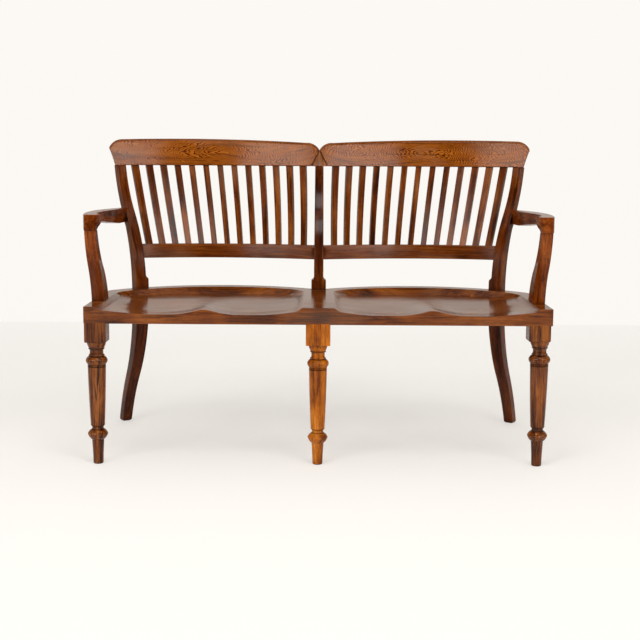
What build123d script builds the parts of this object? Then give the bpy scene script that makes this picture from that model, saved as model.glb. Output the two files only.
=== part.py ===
from build123d import *
import math
import os

os.makedirs("parts", exist_ok=True)

# Chair-back settee in oak: two Windsor-style chair backs side by side over one
# saddled seat board, three turned front legs and three sabre-shaped back posts.
# Millimetres. +Z is up and the sitter faces -Y. The origin lies on the floor,
# under the middle of the whole piece. Depths are counted from the seat's front.

# Overall sizes
seat_width = 1320
seat_height = 455
seat_thickness = 44
crest_base_height = 843
crest_height = 87
arm_height = 708

# Seat board
seat_arc_bow_share = 0.187
seat_corner_radius = 60
seat_nose_radius = 8
post_proud = 11

# Saddling of each seat
dish_rim = 39
dish_centre_rim = 45
dish_back_rim = 52
dish_corner_radius = 110
dish_depth = 24
dish_wall_slope = 50
dish_overrun = 30
dish_across_shares = (0, 0.14, 0.40, 0.47, 0.52, 0.57, 0.64, 0.90, 1)
dish_pan_shares = (0.45, 0.84, 1, 1, 1, 1, 1, 0.84, 0.45)
pommel_shares = (0, 0, 0.02, 0.40, 0.70, 0.40, 0.02, 0, 0)
dish_station_shares = (0, 0.34, 0.72, 1.1)
pommel_fade_shares = (1, 0.66, 0.05, 0)
dish_fade_shares = (1, 0.98, 0.86, 0.86)

# Front legs
leg_inset = 33
leg_reveal = 4
leg_block_width = 58
centre_block_width = 66
leg_block_height = 60
leg_tenon_width = 28
leg_tenon_length = 22
collar_radius = 27
collar_foot_radius = 22
collar_height = 15
neck_radius = 19.5
neck_fillet = 4
bulb_radius = 31
band_radius = 26.5
column_top_radius = 26
column_foot_radius = 20.5
fillet_step = 3
cove_radius = 17.5
ring_radius = 28.7
ring_neck_radius = 20
foot_top_radius = 17.5
foot_radius = 14.5
# Heights of the turnings as shares of the turned length
bulb_top_share = 0.877
bulb_shoulder_share = 0.858
bulb_hip_share = 0.828
bulb_foot_share = 0.806
band_foot_share = 0.789
column_top_share = 0.779
column_foot_share = 0.308
cove_top_share = 0.296
cove_foot_share = 0.276
ring_top_share = 0.264
ring_middle_share = 0.238
ring_hip_share = 0.222
ring_foot_share = 0.194

# Back posts, each sawn in one piece from foot to crest
back_line = 475
corner_post_line = 496
corner_post_inset = 88
post_splay_angle = 33
post_sweep = 130
post_depth = 38
block_foot = 393
block_top = 487
block_width = 43
centre_post_block_width = 46
corner_post_outer = 19
corner_post_neck = 35
corner_post_top = 31
corner_post_foot = 32
centre_post_neck = 30
centre_post_top = 27
centre_post_foot = 31
shoulder_height = 15
shoulder_bend_share = 0.28
post_tenon_width = 12
post_tenon_depth = 16
post_tenon_length = 32
centre_tenon_length = 22
# Sweep and depth of a post at its foot, its two bends and its head
foot_sweep_share = 0.97
foot_depth_share = 0.80
leg_bend_share = 0.40
leg_bend_sweep_share = 0.485
leg_bend_depth_share = 0.87
post_bend_share = 0.61
post_bend_sweep_share = 0.54
post_bend_depth_share = 0.79
head_depth_share = 0.71

# Crest rails
crest_overhang = 107
crest_board_shares = (-0.03, 1.12)
crest_thickness = 26
crest_bow = 66
crest_rake = 0.235
spandrel_width = 54
spandrel_height = 52
# Crest outline as shares of the crest's length and height: the rounded corner at
# the notch, the long crown, the rounded outer corner and the hollow end
notch_corner_share = (0.020, 0.775)
crown_start_share = (0.065, 0.868)
crown_middle_share = (0.50, 0.993)
crown_end_share = (0.946, 0.960)
crest_tip_share = (1, 0.650)
crest_end_middle_share = (0.985, 0.340)
crest_end_foot_share = 0.971
crest_joint_share = (0.46, 0.53)

# Lower back rails
rail_top_height = 594
rail_height = 44
rail_thickness = 22
rail_bow = 50
rail_rake = 0.21
rail_tenon_length = 9
rail_tenon_thickness = 9
rail_tenon_height = 31
rail_sweep_share = 0.12

# Slats
slats_per_chair = 13
slat_width = 18.5
slat_thickness = 12.5
slat_housing = 8
slat_first_share = 0.087
slat_last_share = 0.934
slat_bend_share = (0.5, 0.56)

# Arms and their supports
arm_thickness = 45
arm_end_rounding = 6
arm_tenon_width = 14
arm_tenon_length = 16
arm_landing_share = 0.36
arm_sweep_share = 0.54
wrist_at = 215
wrist_length = 115
wrist_cut = 7
wrist_edge_inset = 15
# Underside of the arm: a deep block at the hand, a cove behind it, and a long
# hollow that runs out before the post, as depths from the seat's front and rises
hand_block_back = 104
cove_middle = (110, 15)
cove_back = (124, 22)
hollow_middle = (265, 15)
hollow_back = (450, 0)
# Front view of the hand, undercut beside its block, as offsets and rises
hand_block_inner = (-30, 0)
undercut_middle = (-32, 15)
undercut_inner = (-45, 24)
# Arm plan as outward offsets from the seat's side and depths from its front
arm_hand_outer = (3, 62)
arm_elbow_outer = (21, 170)
arm_middle_outer = (27, 290)
arm_hand_inner = (-30, 62)
arm_palm_inner = (-38, 115)
arm_wrist_inner = (-27, 170)
arm_middle_inner = (-14, 290)
support_base_inset = 3
support_base_width = 38
support_head_overhang = 3
support_head_width = 32
support_tenon_width = 16
support_tenon_length = 18
# Side view of the support as depths from the seat's front
support_bend_share = 0.48
support_base_front = 131
support_bend_front = 101
support_head_front = 67
support_base_back = 199
support_bend_back = 156
support_head_back = 104

# Worked out from the sizes above
seat_underside = seat_height - seat_thickness
half_seat = seat_width / 2
corner_post_spread = half_seat - corner_post_inset
crest_length = corner_post_spread + crest_overhang
crest_line = back_line + post_sweep
crest_run = crest_height * crest_rake
overall_depth = crest_line + crest_bow + crest_thickness / 2 + crest_run
front_y = -overall_depth / 2
turned_length = seat_underside - leg_block_height
corner_leg_x = half_seat - leg_inset
splay = math.radians(post_splay_angle)
post_backward = Vector(math.sin(splay), math.cos(splay), 0)
post_outward = Vector(math.cos(splay), -math.sin(splay), 0)
corner_post_centre = Vector(corner_post_spread, front_y + corner_post_line, 0)
centre_post_centre = Vector(0, front_y + back_line, 0)


def finish(piece, name):
    """Name a finished piece and write it."""
    piece.part.label = name
    export_step(piece.part, f"parts/{name}.step")
    return piece.part


def finish_pair(piece, name):
    """Write the right-hand piece and its mirror image."""
    right = finish(piece, f"{name}_right")
    with BuildPart() as twin:
        mirror(right, about=Plane.YZ)
    return right, finish(twin, f"{name}_left")


def arc_point(start, end, bow, share):
    """Point and backward normal on a bowed line, as a share of its angle."""
    chord = end - start
    half = chord.length / 2
    radius = (half**2 + bow**2) / (2 * bow)
    half_angle = math.asin(half / radius)
    along = chord.normalized()
    back = Vector(-along.Y, along.X, 0)
    centre = (start + end) / 2 + back * (bow - radius)
    angle = half_angle * (2 * share - 1)
    normal = along * math.sin(angle) + back * math.cos(angle)
    return centre + normal * radius, normal


def raked_board(start, end, bow, thickness, shares, foot_height, height, rake):
    """Bent board that leans back by its rake, sawn level at foot and top."""
    slope = math.hypot(1, rake)
    stations = [arc_point(start, end, bow, share) for share in (shares[0], sum(shares) / 2, shares[1])]
    front = [point - normal * (thickness / 2) for point, normal in stations]
    back = [point + normal * (thickness / 2) for point, normal in stations]
    front = [(point.X, point.Y / slope) for point in front]
    back = [(point.X, point.Y / slope) for point in back]
    with BuildPart() as board:
        with BuildSketch(Plane(origin=(0, 0, foot_height), x_dir=(1, 0, 0), z_dir=(0, rake, 1))):
            with BuildLine():
                ThreePointArc(*front)
                Line(front[2], back[2])
                ThreePointArc(back[2], back[1], back[0])
                Line(back[0], front[0])
            make_face()
        extrude(amount=overall_depth, both=True)
        split(bisect_by=Plane.XY.offset(foot_height))
        split(bisect_by=Plane.XY.offset(foot_height + height), keep=Keep.BOTTOM)
    return board.part


# Seat board, drawn as its right half with the back edge bowed behind the chair
seat_arc_start = Vector(0, front_y + back_line + post_depth / 2 - post_proud, 0)
seat_arc_end = corner_post_centre + post_backward * (post_depth / 2 - post_proud)
seat_arc_bow = corner_post_spread * seat_arc_bow_share
half_chord = (seat_arc_end - seat_arc_start).length / 2
seat_arc_radius = (half_chord**2 + seat_arc_bow**2) / (2 * seat_arc_bow)
arc_top, arc_top_normal = arc_point(seat_arc_start, seat_arc_end, seat_arc_bow, 1 / 2)
seat_arc_centre = arc_top - arc_top_normal * seat_arc_radius


def on_back_circle(x, radius):
    """Point at x on the back half of a circle about the seat arc's centre."""
    reach = math.sqrt(radius**2 - (x - seat_arc_centre.X) ** 2)
    return Vector(x, seat_arc_centre.Y + reach, 0)


seat_corner = on_back_circle(half_seat, seat_arc_radius)
with BuildPart() as seat_board:
    with BuildSketch(Plane.XY.offset(seat_underside)):
        with BuildLine():
            Line((0, front_y), (half_seat, front_y))
            Line((half_seat, front_y), seat_corner)
            ThreePointArc(seat_corner, on_back_circle(half_seat / 2, seat_arc_radius), seat_arc_start)
            Line(seat_arc_start, (0, front_y))
        make_face()
        fillet(vertices().sort_by(Axis.X)[-2:].sort_by(Axis.Y)[-1], radius=seat_corner_radius)
        fillet(vertices().group_by(Axis.Y)[0].sort_by(Axis.X)[-1], radius=seat_nose_radius)
        mirror(about=Plane.YZ)
    extrude(amount=seat_thickness)

# Saddling of the right-hand seat: a floor with two leg hollows, inside sloping walls
dish_outer_x = half_seat - dish_rim
dish_span = dish_outer_x - dish_centre_rim
dish_radius = seat_arc_radius - dish_back_rim
dish_outer_back = on_back_circle(dish_outer_x, dish_radius)
dish_inner_back = on_back_circle(dish_centre_rim, dish_radius)
dish_middle = on_back_circle(dish_centre_rim + dish_span / 2, dish_radius)
dish_front = front_y - dish_overrun
dish_reach = dish_middle.Y - dish_front
with BuildPart() as dish:
    for station, pommel, fade in zip(dish_station_shares, pommel_fade_shares, dish_fade_shares):
        floor = [
            (
                dish_outer_x - dish_span * across,
                seat_height - dish_depth * fade * pan * (1 - pommel * bump),
            )
            for across, pan, bump in zip(dish_across_shares, dish_pan_shares, pommel_shares)
        ]
        with BuildSketch(Plane.XZ.offset(-dish_front - dish_reach * station)):
            with BuildLine():
                Spline(*floor)
                Polyline(
                    floor[-1],
                    (dish_centre_rim, seat_height + dish_overrun),
                    (dish_outer_x, seat_height + dish_overrun),
                    floor[0],
                )
            make_face()
    loft()
    with BuildSketch(Plane.XY.offset(seat_height)):
        with BuildLine():
            Polyline(
                dish_outer_back,
                (dish_outer_x, dish_front),
                (dish_centre_rim, dish_front),
                dish_inner_back,
            )
            ThreePointArc(dish_inner_back, dish_middle, dish_outer_back)
        make_face()
        fillet(vertices().sort_by(Axis.Y)[-2:], radius=dish_corner_radius)
    extrude(amount=-seat_thickness, taper=dish_wall_slope, mode=Mode.INTERSECT)


# Profile of the turned leg, from the foot up, as radii and shares of its length
collar_foot_share = 1 - collar_height / turned_length
collar_fillet_share = collar_foot_share - neck_fillet / turned_length
turned_profile = (
    (0, 0),
    (foot_radius, 0),
    (foot_top_radius, ring_foot_share),
    (ring_radius, ring_hip_share),
    (ring_radius, ring_middle_share),
    (ring_neck_radius, ring_top_share),
    (cove_radius, cove_foot_share),
    (cove_radius, cove_top_share),
    (column_foot_radius, column_foot_share),
    (column_top_radius, column_top_share),
    (band_radius - fillet_step, column_top_share),
    (band_radius - fillet_step, band_foot_share),
    (band_radius, band_foot_share),
    (band_radius, bulb_foot_share),
    (bulb_radius, bulb_hip_share),
    (bulb_radius, bulb_shoulder_share),
    (neck_radius, bulb_top_share),
    (neck_radius, collar_fillet_share),
    (collar_foot_radius, collar_fillet_share),
    (collar_foot_radius, collar_foot_share),
    (collar_radius, 1),
    (0, 1),
)


def front_leg(x, block_width):
    """Turned leg with its square block and the tenon that enters the seat."""
    axis_y = front_y + leg_reveal + block_width / 2
    with BuildPart() as leg:
        with BuildSketch(Plane(origin=(x, axis_y, 0), x_dir=(1, 0, 0), z_dir=(0, -1, 0))):
            with BuildLine():
                Polyline(*[(radius, turned_length * share) for radius, share in turned_profile], close=True)
            make_face()
        revolve(axis=Axis((x, axis_y, 0), (0, 0, 1)))
        with BuildSketch(Plane(origin=(x, axis_y, turned_length))):
            Rectangle(block_width, block_width)
        extrude(amount=leg_block_height)
        with BuildSketch(Plane(origin=(x, axis_y, seat_underside))):
            Rectangle(leg_tenon_width, leg_tenon_width)
        extrude(amount=leg_tenon_length)
    return leg.part


def side_profile(side):
    """Key points of one edge of a post's side view, from foot to head."""
    half_depth = side * post_depth / 2
    rise = crest_base_height - seat_height
    return (
        (post_sweep * foot_sweep_share + half_depth * foot_depth_share, 0),
        (
            post_sweep * leg_bend_sweep_share + half_depth * leg_bend_depth_share,
            seat_underside * leg_bend_share,
        ),
        (half_depth, seat_underside),
        (half_depth, seat_height),
        (
            post_sweep * post_bend_sweep_share + half_depth * post_bend_depth_share,
            seat_height + rise * post_bend_share,
        ),
        (post_sweep + half_depth * head_depth_share, crest_base_height),
    )


def post_body(centre, backward, outward, outer_widths, inner_widths):
    """Sawn post: its side view from foot to crest, narrowed to its front view.

    Widths are given at the foot, the block, the neck above it and the top.
    """
    front = side_profile(-1)
    back = side_profile(1)
    with BuildPart() as post:
        with BuildSketch(Plane(origin=centre, x_dir=backward, z_dir=outward)):
            with BuildLine():
                for foot, leg_bend, seat_low, seat_high, post_bend, head in (front, back):
                    thigh = TangentArc(seat_low, leg_bend, tangent=(0, -1))
                    TangentArc(leg_bend, foot, tangent=thigh % 1)
                    Line(seat_low, seat_high)
                    waist = TangentArc(seat_high, post_bend, tangent=(0, 1))
                    TangentArc(post_bend, head, tangent=waist % 1)
                Line(front[0], back[0])
                Line(front[-1], back[-1])
            make_face()
        extrude(amount=block_width, both=True)
        with BuildSketch(Plane(origin=centre, x_dir=outward, z_dir=-backward)):
            with BuildLine():
                Line((-inner_widths[0], 0), (outer_widths[0], 0))
                for side, widths in ((1, outer_widths), (-1, inner_widths)):
                    foot, block, neck, top = (side * width for width in widths)
                    Polyline((foot, 0), (block, block_foot), (block, block_top))
                    if block == neck:
                        Line((block, block_top), (neck, block_top + shoulder_height))
                    else:
                        ThreePointArc(
                            (block, block_top),
                            (
                                neck + (block - neck) * shoulder_bend_share,
                                block_top + shoulder_height * shoulder_bend_share,
                            ),
                            (neck, block_top + shoulder_height),
                        )
                    Line((neck, block_top + shoulder_height), (top, crest_base_height))
                Line((-inner_widths[3], crest_base_height), (outer_widths[3], crest_base_height))
            make_face()
        extrude(amount=2 * post_sweep, both=True, mode=Mode.INTERSECT)
    return post.part


# Back posts before their mortises are cut
corner_body = post_body(
    corner_post_centre,
    post_backward,
    post_outward,
    (corner_post_foot / 2, corner_post_outer, corner_post_outer, corner_post_outer),
    (
        corner_post_foot / 2,
        block_width - corner_post_outer,
        corner_post_neck - corner_post_outer,
        corner_post_top - corner_post_outer,
    ),
)
centre_widths = (
    centre_post_foot / 2,
    centre_post_block_width / 2,
    centre_post_neck / 2,
    centre_post_top / 2,
)
centre_body = post_body(
    centre_post_centre, Vector(0, 1, 0), Vector(1, 0, 0), centre_widths, centre_widths
)

# Lines that the rails follow, from the centre post to the right-hand post
rail_foot_height = rail_top_height - rail_height
rail_start = centre_post_centre + Vector(0, post_sweep * rail_sweep_share, 0)
rail_end = corner_post_centre + post_backward * post_sweep * rail_sweep_share
crest_start = centre_post_centre + Vector(0, post_sweep, 0)
crest_end = corner_post_centre + post_backward * post_sweep

# Tenons at the heads of the posts
with BuildPart() as corner_head:
    with BuildSketch(Plane(origin=crest_end + Vector(0, 0, crest_base_height), x_dir=post_backward)):
        Rectangle(post_tenon_depth, post_tenon_width)
    extrude(amount=post_tenon_length, dir=(0, crest_rake, 1))
with BuildPart() as centre_head:
    with BuildSketch(Plane(origin=crest_start + Vector(0, 0, crest_base_height))):
        Rectangle(post_tenon_width, post_tenon_depth)
    extrude(amount=centre_tenon_length, dir=(0, crest_rake, 1))

# Tenons at the ends of the lower rail, square to the sides of the posts
rail_middle = Vector(0, rail_rake * rail_height / 2, rail_foot_height + rail_height / 2)
with BuildPart() as rail_inner_tenon:
    with BuildSketch(Plane(origin=rail_start + rail_middle, x_dir=(0, 1, 0), z_dir=(1, 0, 0))):
        Rectangle(rail_tenon_thickness, rail_tenon_height)
    extrude(amount=centre_post_neck / 2 + rail_tenon_length)
    split(bisect_by=Plane.YZ.offset(centre_post_neck / 2 - rail_tenon_length))
corner_post_inner = corner_post_neck - corner_post_outer
with BuildPart() as rail_outer_tenon:
    with BuildSketch(
        Plane(
            origin=rail_end + rail_middle - post_outward * (corner_post_inner + rail_tenon_length),
            x_dir=post_backward,
            z_dir=post_outward,
        )
    ):
        Rectangle(rail_tenon_thickness, rail_tenon_height)
    extrude(amount=2 * rail_tenon_length)

# Slats, each bent like the posts and turned square to the curve of the back
slat_shares = [
    slat_first_share + (slat_last_share - slat_first_share) * number / (slats_per_chair - 1)
    for number in range(slats_per_chair)
]
slat_foot_height = rail_top_height - slat_housing
slat_head_height = crest_base_height + slat_housing
slat_foot_rake = Vector(0, rail_rake * (rail_height - slat_housing), slat_foot_height)
slat_head_rake = Vector(0, crest_rake * slat_housing, slat_head_height)
slats = []
for share in slat_shares:
    foot, foot_normal = arc_point(rail_start, rail_end, rail_bow, share)
    head, head_normal = arc_point(crest_start, crest_end, crest_bow, share)
    foot += slat_foot_rake
    head += slat_head_rake
    facing = (foot_normal + head_normal).normalized()
    lean = (head - foot).dot(facing)
    rise = (head - foot) - facing * lean
    half = slat_thickness / 2
    bend_climb = rise.length * slat_bend_share[0]
    bend_run = lean * slat_bend_share[1]
    with BuildPart() as slat:
        with BuildSketch(Plane(origin=foot, x_dir=facing, z_dir=facing.cross(rise))):
            with BuildLine():
                ThreePointArc((-half, 0), (bend_run - half, bend_climb), (lean - half, rise.length))
                Line((lean - half, rise.length), (lean + half, rise.length))
                ThreePointArc((lean + half, rise.length), (bend_run + half, bend_climb), (half, 0))
                Line((half, 0), (-half, 0))
            make_face()
        extrude(amount=slat_width / 2, both=True)
    slats.append(slat)
for number, slat in enumerate(slats, start=1):
    finish_pair(slat, f"slat_{number:02d}")

# Lower back rail
with BuildPart() as lower_rail:
    add(
        raked_board(
            rail_start, rail_end, rail_bow, rail_thickness, (0, 1), rail_foot_height, rail_height, rail_rake
        )
    )
    add(centre_body, mode=Mode.SUBTRACT)
    add(corner_body, mode=Mode.SUBTRACT)
    add(rail_inner_tenon.part)
    add(rail_outer_tenon.part)
    for slat in slats:
        add(slat.part, mode=Mode.SUBTRACT)
finish_pair(lower_rail, "lower_back_rail")


def crest_place(share):
    """Point on the crest's front view from its shares of length and height."""
    return share[0] * crest_length, crest_base_height + share[1] * crest_height


# Crest rail: a bent board sawn to its outline, notched for posts and slats
notch_point = (0, crest_base_height + spandrel_height)
spandrel_corner = (spandrel_width / 2, crest_base_height)
joint_middle = (
    spandrel_width / 2 * crest_joint_share[0],
    crest_base_height + spandrel_height * crest_joint_share[1],
)
crest_end_foot = (crest_end_foot_share * crest_length, crest_base_height)
crest_board = raked_board(
    crest_start,
    crest_end,
    crest_bow,
    crest_thickness,
    crest_board_shares,
    crest_base_height,
    crest_height,
    crest_rake,
)
with BuildPart() as crest_rail:
    add(crest_board)
    split(bisect_by=Plane.YZ)
    with BuildSketch(Plane.XZ):
        with BuildLine():
            ThreePointArc(notch_point, crest_place(notch_corner_share), crest_place(crown_start_share))
            crown = ThreePointArc(
                crest_place(crown_start_share),
                crest_place(crown_middle_share),
                crest_place(crown_end_share),
            )
            TangentArc(crest_place(crown_end_share), crest_place(crest_tip_share), tangent=crown % 1)
            ThreePointArc(
                crest_place(crest_tip_share), crest_place(crest_end_middle_share), crest_end_foot
            )
            Line(crest_end_foot, spandrel_corner)
            ThreePointArc(spandrel_corner, joint_middle, notch_point)
        make_face()
    extrude(amount=overall_depth, both=True, mode=Mode.INTERSECT)
    for slat in slats:
        add(slat.part, mode=Mode.SUBTRACT)
    add(corner_head.part, mode=Mode.SUBTRACT)
finish_pair(crest_rail, "crest_rail")

# Spandrel block that fills the space between the two crest rails
with BuildPart() as spandrel:
    add(crest_board)
    split(bisect_by=Plane.YZ)
    mirror(about=Plane.YZ)
    with BuildSketch(Plane.XZ):
        with BuildLine():
            ThreePointArc(spandrel_corner, joint_middle, notch_point)
            Polyline(notch_point, (0, crest_base_height), spandrel_corner)
        make_face()
        mirror(about=Plane.YZ)
    extrude(amount=overall_depth, both=True, mode=Mode.INTERSECT)
    add(centre_head.part, mode=Mode.SUBTRACT)
finish(spandrel, "crest_spandrel")


def arm_place(point):
    """Plan point from an outward offset and a depth behind the seat's front."""
    return half_seat + point[0], front_y + point[1]


# Arm: a board sawn to its plan, waisted behind the hand and let onto the post
arm_foot_height = arm_height - arm_thickness
arm_landing = corner_post_centre + post_backward * post_sweep * arm_sweep_share
landing_half = post_backward * post_depth * arm_landing_share
landing_side = post_outward * corner_post_outer
arm_outer_landing = arm_landing + landing_side + landing_half
arm_inner_landing = arm_landing + landing_side - landing_half
wrist_depth = wrist_cut / math.sqrt(2)
wrist_radius = (wrist_length * wrist_length / 4 + wrist_depth * wrist_depth) / (2 * wrist_depth)
wrist_edge = Vector(half_seat - wrist_edge_inset, front_y + wrist_at, arm_height)
wrist_centre = wrist_edge + Vector(-1, 0, 1).normalized() * (wrist_radius - wrist_depth)


def under_arm(point):
    """Side-view point from a depth behind the seat's front and a rise."""
    return front_y + point[0], arm_foot_height + point[1]


def under_hand(point):
    """Front-view point from an outward offset and a rise."""
    return half_seat + point[0], arm_foot_height + point[1]


with BuildPart() as arm:
    with BuildSketch(Plane.XY.offset(arm_foot_height)):
        with BuildLine():
            Line(arm_place(arm_hand_inner), arm_place(arm_hand_outer))
            elbow = ThreePointArc(
                arm_place(arm_hand_outer), arm_place(arm_elbow_outer), arm_place(arm_middle_outer)
            )
            TangentArc(arm_place(arm_middle_outer), arm_outer_landing, tangent=elbow % 1)
            Polyline(arm_outer_landing, arm_landing, arm_inner_landing)
            palm = ThreePointArc(
                arm_place(arm_hand_inner), arm_place(arm_palm_inner), arm_place(arm_wrist_inner)
            )
            wrist = TangentArc(arm_place(arm_wrist_inner), arm_place(arm_middle_inner), tangent=palm % 1)
            TangentArc(arm_place(arm_middle_inner), arm_inner_landing, tangent=wrist % 1)
        make_face()
    extrude(amount=arm_thickness)
    fillet(arm.edges().filter_by(Axis.Z).group_by(Axis.Y)[0], radius=arm_end_rounding)
    with BuildSketch(Plane(origin=wrist_centre, x_dir=(0, 1, 0), z_dir=(1, 0, 1))):
        Circle(wrist_radius)
    extrude(amount=arm_thickness, both=True, mode=Mode.SUBTRACT)
    with BuildSketch(Plane.YZ):
        with BuildLine():
            ThreePointArc(under_arm((hand_block_back, 0)), under_arm(cove_middle), under_arm(cove_back))
            ThreePointArc(under_arm(cove_back), under_arm(hollow_middle), under_arm(hollow_back))
            Line(under_arm(hollow_back), under_arm((hand_block_back, 0)))
        make_face()
    extrude(amount=seat_width, mode=Mode.SUBTRACT)
    with BuildSketch(Plane.XZ.offset(-front_y - hand_block_back)):
        with BuildLine():
            undercut = [under_hand(point) for point in (hand_block_inner, undercut_middle, undercut_inner)]
            ThreePointArc(*undercut)
            Polyline(
                under_hand(undercut_inner),
                under_hand((undercut_inner[0], 0)),
                under_hand(hand_block_inner),
            )
        make_face()
    extrude(amount=hand_block_back, mode=Mode.SUBTRACT)
    add(corner_body, mode=Mode.SUBTRACT)
    with BuildSketch(
        Plane(
            origin=arm_landing + Vector(0, 0, arm_height - arm_thickness / 2)
            + post_outward * (corner_post_outer - arm_tenon_length),
            z_dir=post_outward,
        )
    ):
        Rectangle(arm_tenon_width, arm_tenon_width)
    extrude(amount=arm_tenon_length)

# Arm support: S-shaped in side view, narrower towards its head
support_height = arm_foot_height - seat_height
support_bend_height = seat_height + support_height * support_bend_share
support_edges = (
    (support_base_front, support_bend_front, support_head_front),
    (support_base_back, support_bend_back, support_head_back),
)
support_head_y = front_y + (support_head_front + support_head_back) / 2
support_foot_y = front_y + (support_base_front + support_base_back) / 2
support_base_outer = half_seat - support_base_inset
support_base_inner = support_base_outer - support_base_width
support_head_outer = half_seat + support_head_overhang
support_head_inner = support_head_outer - support_head_width
support_base_x = (support_base_outer + support_base_inner) / 2
support_head_x = (support_head_outer + support_head_inner) / 2
with BuildPart() as arm_support:
    with BuildSketch(Plane.YZ.offset(support_base_x)):
        with BuildLine():
            for base, bend, head in support_edges:
                support_bend = (front_y + bend, support_bend_height)
                shin = TangentArc((front_y + base, seat_height), support_bend, tangent=(0, 1))
                TangentArc(support_bend, (front_y + head, arm_foot_height), tangent=shin % 1)
            Line((front_y + support_base_front, seat_height), (front_y + support_base_back, seat_height))
            Line(
                (front_y + support_head_front, arm_foot_height),
                (front_y + support_head_back, arm_foot_height),
            )
        make_face()
    extrude(amount=support_base_width, both=True)
    with BuildSketch(Plane.XZ):
        with BuildLine():
            Polyline(
                (support_base_outer, seat_height),
                (support_head_outer, arm_foot_height),
                (support_head_inner, arm_foot_height),
                (support_base_inner, seat_height),
                close=True,
            )
        make_face()
    extrude(amount=overall_depth, both=True, mode=Mode.INTERSECT)
    with BuildSketch(Plane(origin=(support_head_x, support_head_y, arm_foot_height))):
        Rectangle(support_tenon_width, support_tenon_width)
    extrude(amount=support_tenon_length)
    with BuildSketch(Plane(origin=(support_base_x, support_foot_y, seat_height))):
        Rectangle(support_tenon_width, support_tenon_width)
    extrude(amount=-support_tenon_length)
support_right, support_left = finish_pair(arm_support, "arm_support")
with BuildPart() as arm_on_support:
    add(arm.part)
    add(support_right, mode=Mode.SUBTRACT)
finish_pair(arm_on_support, "arm")

# Posts with their mortises
with BuildPart() as corner_post:
    add(corner_body)
    add(corner_head.part)
    add(rail_outer_tenon.part, mode=Mode.SUBTRACT)
    add(arm.part, mode=Mode.SUBTRACT)
corner_right, corner_left = finish_pair(corner_post, "back_post")
with BuildPart() as centre_post:
    add(centre_body)
    add(centre_head.part)
    add(rail_inner_tenon.part, mode=Mode.SUBTRACT)
    mirror(rail_inner_tenon.part, about=Plane.YZ, mode=Mode.SUBTRACT)
centre_right = finish(centre_post, "back_post_centre")

# Front legs
with BuildPart() as front_legs:
    add(front_leg(0, centre_block_width))
    corner_leg = front_leg(corner_leg_x, leg_block_width)
    add(corner_leg)
    mirror(corner_leg, about=Plane.YZ)
legs = finish(front_legs, "front_legs")

# Seat with its saddling, mortises and notches
with BuildPart() as seat:
    add(seat_board.part)
    add(dish.part, mode=Mode.SUBTRACT)
    mirror(dish.part, about=Plane.YZ, mode=Mode.SUBTRACT)
    for piece in (legs, corner_right, corner_left, centre_right, support_right, support_left):
        add(piece, mode=Mode.SUBTRACT)
finish(seat, "seat")
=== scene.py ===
# %% [markdown]
# # A chair-back settee in old waxed oak
#
# Two slatted chair backs stand side by side over one long seat with two saddled
# hollows. The CAD solids hold every size. This script dresses them: it rounds
# their edges as long use and polish would, turns the front legs with fuller
# beads, and gives each piece oak whose grain runs its own way.

import math

import bmesh
import bpy
import numpy as np
from mathutils import Matrix, Vector
from mathutils.bvhtree import BVHTree


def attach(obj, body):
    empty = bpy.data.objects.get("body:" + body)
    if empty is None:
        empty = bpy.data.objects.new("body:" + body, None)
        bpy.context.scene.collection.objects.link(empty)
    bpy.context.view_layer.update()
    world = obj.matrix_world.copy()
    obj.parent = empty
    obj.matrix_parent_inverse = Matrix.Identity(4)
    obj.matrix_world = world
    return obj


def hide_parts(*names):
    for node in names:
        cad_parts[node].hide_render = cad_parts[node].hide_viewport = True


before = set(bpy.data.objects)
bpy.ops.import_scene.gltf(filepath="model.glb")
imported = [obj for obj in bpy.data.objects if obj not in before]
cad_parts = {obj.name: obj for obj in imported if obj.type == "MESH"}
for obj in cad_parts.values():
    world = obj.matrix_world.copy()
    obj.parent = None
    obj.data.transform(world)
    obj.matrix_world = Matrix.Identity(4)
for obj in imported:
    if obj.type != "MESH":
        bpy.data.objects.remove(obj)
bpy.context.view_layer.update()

# %% [markdown]
# ## The camera
#
# The picture was taken from a little below the top of the crest, straight on,
# with a long lens tilted down by under 8 degrees. A long lens from far away
# keeps the turned legs upright. The last turn is the slight roll of the tripod.

# %% Place the camera
camera_place = Vector((0.005, -3.683, 0.872))
camera_tilt = math.radians(90 - 7.7)
camera_roll = math.radians(0.35)
camera_data = bpy.data.cameras.new("camera")
camera_data.sensor_width = 36.0
camera_data.lens = 67.7
camera_data.clip_end = 60.0
camera = bpy.data.objects.new("camera", camera_data)
bpy.context.scene.collection.objects.link(camera)
camera.matrix_world = (
    Matrix.Translation(camera_place)
    @ Matrix.Rotation(camera_tilt, 4, "X")
    @ Matrix.Rotation(camera_roll, 4, "Z")
)
bpy.context.scene.camera = camera
bpy.context.scene.view_settings.view_transform = "Standard"
print("camera at", tuple(camera_place), "lens", camera_data.lens)

# %% [markdown]
# ## Small helpers for shader nodes
#
# A material is a tree of nodes. Wired one by one, a recipe fills pages. These
# helpers add one node and connect or set its inputs in a single line, so that
# the recipes below read from top to bottom.

# %% Node helpers


def add_node(tree, kind, inputs=(), **settings):
    """Add a node, set its settings, then link or fill its inputs."""
    made = tree.nodes.new(kind)
    for key, value in settings.items():
        setattr(made, key, value)
    for key, value in dict(inputs).items():
        if isinstance(value, bpy.types.NodeSocket):
            tree.links.new(value, made.inputs[key])
        else:
            made.inputs[key].default_value = value
    return made


def combine(tree, operation, first, second=0.0, third=0.0, clamp=False):
    """One sum, product or the like of two or three numbers."""
    made = add_node(
        tree,
        "ShaderNodeMath",
        {0: first, 1: second, 2: third},
        operation=operation,
        use_clamp=clamp,
    )
    return made.outputs[0]


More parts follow.
